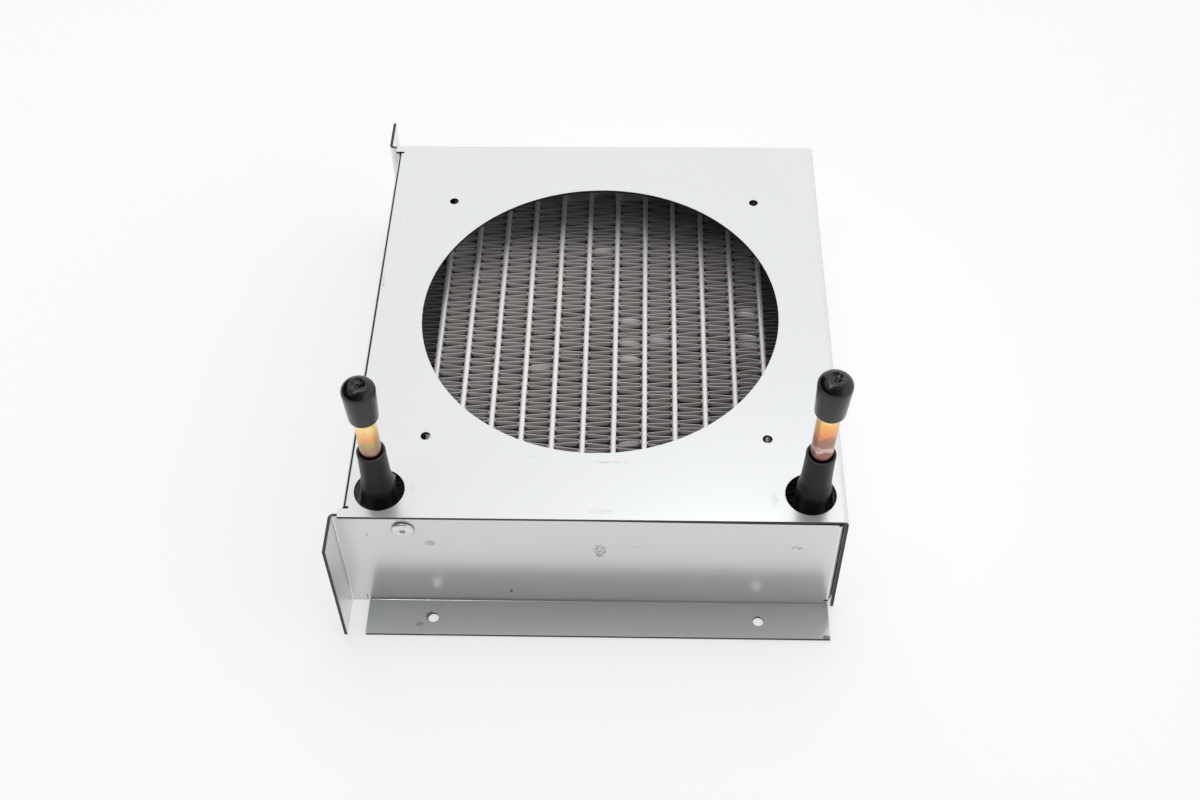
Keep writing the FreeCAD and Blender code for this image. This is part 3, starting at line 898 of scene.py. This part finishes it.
class CONDENSER_OT_sheet_metal(Operator):
    """Fold the shroud and the two end brackets from zinc-coated sheet"""

    bl_idname = "condenser.sheet_metal"
    bl_label = "Sheet Metal"

    def execute(self, context):
        sheet = context.scene.condenser_sheet
        sheared = sheared_steel(sheet)
        burnished = burnished_zinc(sheet)
        for node in ("shroud", "front_bracket", "rear_bracket"):
            zinc = zinc_coated_steel(node, sheet)
            piece = add_piece(
                "folded_" + node, folded_sheet(node, sheet), "condenser", "zinc_steel", [node],
                zinc, sheared, burnished)
            # Keeps the wide flat faces flat in the light beside their narrow bends.
            weighted = piece.modifiers.new("weighted_normals", "WEIGHTED_NORMAL")
            weighted.keep_sharp = True
        return {"FINISHED"}


class CONDENSER_OT_flat_tube(Operator):
    """Bend the flat tube back and forth between the fin strips"""

    bl_idname = "condenser.flat_tube"
    bl_label = "Flat Tube"

    def execute(self, context):
        core = context.scene.condenser_core
        finish = brazed_aluminium_tube(core)
        add_piece(
            "flat_tube", flat_tube_mesh(core), "condenser", "aluminium_tube", ["serpentine_tube"], finish)
        for side in ("left", "right"):
            refinish(side + "_header", finish)
            refinish(side + "_header_plug", finish)
        return {"FINISHED"}


class CONDENSER_OT_fins(Operator):
    """Fold the corrugated fins, with the few that were bent since"""

    bl_idname = "condenser.fins"
    bl_label = "Fins"

    def execute(self, context):
        core = context.scene.condenser_core
        finish = brazed_fin_stock(core)
        nodes = sorted(name for name in frame["nodes"] if name.startswith("fin_strip_"))
        for strip, node in enumerate(nodes):
            name = "corrugated_" + node
            add_piece(name, fin_strip_mesh(strip, node, core), "condenser", "aluminium_fin", [node], finish)
        for side in ("left", "right"):
            refinish(side + "_side_plate", finish)
        return {"FINISHED"}


class CONDENSER_OT_copper_stubs(Operator):
    """Turn the copper stubs and the brazing alloy round them"""

    bl_idname = "condenser.copper_stubs"
    bl_label = "Copper Stubs"

    def execute(self, context):
        pipes = context.scene.condenser_pipes
        alloy = brazing_alloy()
        for side in ("left", "right"):
            axis = pipe_axis(side)
            low = along_axis(side + "_sleeve", axis)[1]
            high = along_axis(side + "_cap", axis)[0]
            copper = heat_tinted_copper(side, pipes, low, high)
            mesh = turned_mesh(side + "_stub", stub_profile(side, axis), axis, ring=True)
            add_piece(side + "_stub", mesh, "condenser", "copper", [side + "_copper_stub"], copper)
            mesh = turned_mesh(side + "_braze", braze_profile(side, axis), axis, ring=True)
            add_piece(side + "_braze", mesh, "condenser", "brazing_alloy", [side + "_braze_joint"], alloy)
        return {"FINISHED"}


class CONDENSER_OT_sleeves(Operator):
    """Shrink the black sleeves over the joints"""

    bl_idname = "condenser.sleeves"
    bl_label = "Sleeves"

    def execute(self, context):
        finish = shrunk_polyolefin(context.scene.condenser_pipes)
        cut = cut_rim_painted_sheen()
        rim_height = 0.35 * MM
        for side in ("left", "right"):
            axis = pipe_axis(side)
            mesh = turned_mesh(side + "_shrunk_sleeve", sleeve_profile(side, axis), axis, ring=True)
            rim = along_axis(side + "_sleeve", axis)[1] - rim_height
            to_axis = axis.inverted()
            # The rim gets the grey material with its painted sheen.
            for face in mesh.polygons:
                if (to_axis @ face.center).z > rim:
                    face.material_index = 1
            add_piece(
                side + "_shrunk_sleeve", mesh, "condenser", "shrink_sleeve", [side + "_sleeve"],
                finish, cut)
        return {"FINISHED"}


class CONDENSER_OT_caps(Operator):
    """Mould the black vinyl caps"""

    bl_idname = "condenser.caps"
    bl_label = "Caps"

    def execute(self, context):
        finish = dip_moulded_vinyl(context.scene.condenser_pipes)
        for side in ("left", "right"):
            axis = pipe_axis(side)
            mesh = turned_mesh(
                side + "_vinyl_cap", cap_profile(side, axis), axis, reshape=pinched_crown(side, axis))
            add_piece(side + "_vinyl_cap", mesh, side + "_cap", "vinyl_cap", [side + "_cap"], finish)
        return {"FINISHED"}


class CONDENSER_OT_rivets(Operator):
    """Set the blind rivets that hold the brackets to the shroud"""

    bl_idname = "condenser.rivets"
    bl_label = "Rivets"

    def execute(self, context):
        finish = tumbled_aluminium(context.scene.condenser_pipes)
        for end, facing in (("front", -1), ("rear", 1)):
            node = end + "_rivet"
            low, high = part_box(node)
            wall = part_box(end + "_bracket")
            centre = (low + high) / 2
            head_top = low.y if facing < 0 else high.y
            behind = high.y if facing < 0 else low.y
            head_height = 1.1 * MM
            seat = head_top - facing * head_height
            if not wall[0].y < seat < wall[1].y:
                raise RuntimeError("The rivet's head doesn't lie on its bracket")
            head_radius = (high.x - low.x) / 2
            profile = rivet_profile(head_height, head_radius, 1.6 * MM, abs(behind - seat))
            outwards = Matrix.Rotation(-facing * math.pi / 2, 4, "X")
            axis = Matrix.Translation((centre.x, seat, centre.z)) @ outwards
            mesh = turned_mesh(end + "_blind_rivet", profile, axis)
            add_piece(end + "_blind_rivet", mesh, "condenser", "aluminium_rivet", [node], finish)
        return {"FINISHED"}


class CONDENSER_OT_stage(Operator):
    """Set up the floor, the light and the camera"""

    bl_idname = "condenser.stage"
    bl_label = "Stage"

    def execute(self, context):
        stage = context.scene.condenser_stage
        add_floor(stage)
        add_room(context.scene)
        add_softbox(context.scene)
        add_camera(context.scene, stage)
        context.scene.view_settings.view_transform = "Standard"
        return {"FINISHED"}


def add_floor(stage):
    """Pale paper sweep that keeps the part's soft shadow."""
    # Matt paper: half of what the camera and the metal see of it is its own pale glow, so that
    # it is nearly white without more light on the part.
    material = bpy.data.materials.new("matt_paper_sweep")
    material.use_nodes = True
    tree = material.node_tree
    tree.nodes.remove(tree.nodes["Principled BSDF"])
    paper = add(tree, "ShaderNodeBsdfDiffuse", {"Color": stage.floor[:]})
    glow = add(tree, "ShaderNodeEmission", {"Color": stage.floor[:], "Strength": 1.2})
    path = add(tree, "ShaderNodeLightPath")
    seen = calculate(tree, "MAXIMUM", path.outputs["Is Camera Ray"], path.outputs["Is Glossy Ray"])
    surface = add(tree, "ShaderNodeMixShader", {
        "Fac": calculate(tree, "MULTIPLY", seen, 0.5), 1: paper.outputs[0], 2: glow.outputs[0]})
    tree.links.new(surface.outputs[0], tree.nodes["Material Output"].inputs["Surface"])
    half = 4.0
    corners = [(-half, -half, 0.0), (half, -half, 0.0), (half, half, 0.0), (-half, half, 0.0)]
    mesh = bpy.data.meshes.new("floor")
    mesh.from_pydata(corners, [], [(0, 1, 2, 3)])
    mesh.materials.append(material)
    floor = bpy.data.objects.new("floor", mesh)
    floor.location.z = -0.02 * MM
    bpy.context.scene.collection.objects.link(floor)


def add_room(scene):
    """Soft room light, darker by the camera and low on the left."""
    world = bpy.data.worlds.new("soft_room")
    world.use_nodes = True
    tree = world.node_tree
    direction = add(tree, "ShaderNodeTexCoord").outputs["Generated"]
    parts = add(tree, "ShaderNodeSeparateXYZ", {0: direction}).outputs
    brightest = 1.09
    front = remap(tree, parts["X"], (-0.25, 0.25), (0.07, 0.26))
    back = remap(tree, parts["Y"], (-0.5, 0.6), (front, brightest), interpolation_type="SMOOTHSTEP")
    aside = calculate(tree, "ABSOLUTE", parts["X"])
    sides = remap(tree, aside, (0.3, 0.75), (0.0, brightest), interpolation_type="SMOOTHSTEP")
    room = calculate(tree, "MAXIMUM", back, sides)
    rightward = remap(tree, parts["X"], (-0.52, -0.36), (0.01, 1.0))
    upward = remap(tree, parts["Z"], (0.6, 0.72), (0.01, 1.0))
    open_side = calculate(tree, "MAXIMUM", rightward, upward)
    dimmed = calculate(tree, "MULTIPLY", room, open_side)
    # The camera itself sees an evenly pale room.
    seen = add(tree, "ShaderNodeLightPath").outputs["Is Camera Ray"]
    background = tree.nodes["Background"]
    background.inputs["Color"].default_value = linear("#FDFDFE")
    tree.links.new(calculate(tree, "MAXIMUM", dimmed, seen), background.inputs["Strength"])
    scene.world = world


def add_softbox(scene):
    """Long softbox overhead, turned towards the part."""
    softbox = bpy.data.lights.new("overhead_softbox", "AREA")
    softbox.shape = "RECTANGLE"
    softbox.size = 1.0
    softbox.size_y = 0.2
    softbox.energy = 2.4
    lamp = bpy.data.objects.new("overhead_softbox", softbox)
    lamp.location = (-0.1, 0.08, 1.05)
    lamp.rotation_mode = "QUATERNION"
    lamp.rotation_quaternion = lamp.location.to_track_quat("Z", "Y")
    scene.collection.objects.link(lamp)


def add_camera(scene, stage):
    """Camera at the photograph's viewing angle, for a frame of 3 by 2."""
    low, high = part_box("shroud")
    fan_centre = Vector((0.0, 0.8 * MM, high.z))
    azimuth, elevation = stage.azimuth, stage.elevation
    back = Vector((
        math.sin(azimuth) * math.cos(elevation), -math.cos(azimuth) * math.cos(elevation),
        math.sin(elevation)))
    level = Vector((math.cos(azimuth), math.sin(azimuth), 0.0))
    upright = back.cross(level)
    right = level * math.cos(stage.roll) + upright * math.sin(stage.roll)
    up = upright * math.cos(stage.roll) - level * math.sin(stage.roll)
    data = bpy.data.cameras.new("camera")
    data.sensor_width = 36.0
    data.lens = stage.focal
    data.clip_start = 0.01
    camera = bpy.data.objects.new("camera", data)
    placed = Matrix((right, up, back)).transposed().to_4x4()
    placed.translation = fan_centre + back * stage.distance - up * stage.drop
    camera.matrix_world = placed
    scene.collection.objects.link(camera)
    scene.camera = camera


class CONDENSER_PT_pieces(Panel):
    """Pieces of the condenser, in the order they are made"""

    bl_idname = "CONDENSER_PT_pieces"
    bl_label = "Condenser"
    bl_space_type = "VIEW_3D"
    bl_region_type = "UI"
    bl_category = "Condenser"

    def draw(self, context):
        for operator in OPERATORS:
            self.layout.operator(operator.bl_idname)
        for name in SETTINGS:
            group = getattr(context.scene, name)
            box = self.layout.box()
            for setting in group.__annotations__:
                box.prop(group, setting)


OPERATORS = (
    CONDENSER_OT_stage,
    CONDENSER_OT_sheet_metal,
    CONDENSER_OT_flat_tube,
    CONDENSER_OT_fins,
    CONDENSER_OT_copper_stubs,
    CONDENSER_OT_sleeves,
    CONDENSER_OT_caps,
    CONDENSER_OT_rivets,
)
SETTINGS = {
    "condenser_sheet": CondenserSheet,
    "condenser_core": CondenserCore,
    "condenser_pipes": CondenserPipes,
    "condenser_stage": CondenserStage,
}


def register():
    """Make the operators, the panel and the settings known."""
    for name, group in SETTINGS.items():
        bpy.utils.register_class(group)
        setattr(bpy.types.Scene, name, PointerProperty(type=group))
    for panel_or_operator in (*OPERATORS, CONDENSER_PT_pieces):
        bpy.utils.register_class(panel_or_operator)


def unregister():
    """Take the operators, the panel and the settings away again."""
    for panel_or_operator in (CONDENSER_PT_pieces, *reversed(OPERATORS)):
        bpy.utils.unregister_class(panel_or_operator)
    for name, group in SETTINGS.items():
        delattr(bpy.types.Scene, name)
        bpy.utils.unregister_class(group)


def main():
    """Make every piece and the stage."""
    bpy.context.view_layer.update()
    register()
    bpy.ops.condenser.stage()
    bpy.ops.condenser.sheet_metal()
    bpy.ops.condenser.flat_tube()
    bpy.ops.condenser.fins()
    bpy.ops.condenser.copper_stubs()
    bpy.ops.condenser.sleeves()
    bpy.ops.condenser.caps()
    bpy.ops.condenser.rivets()


if __name__ == "__main__":
    main()
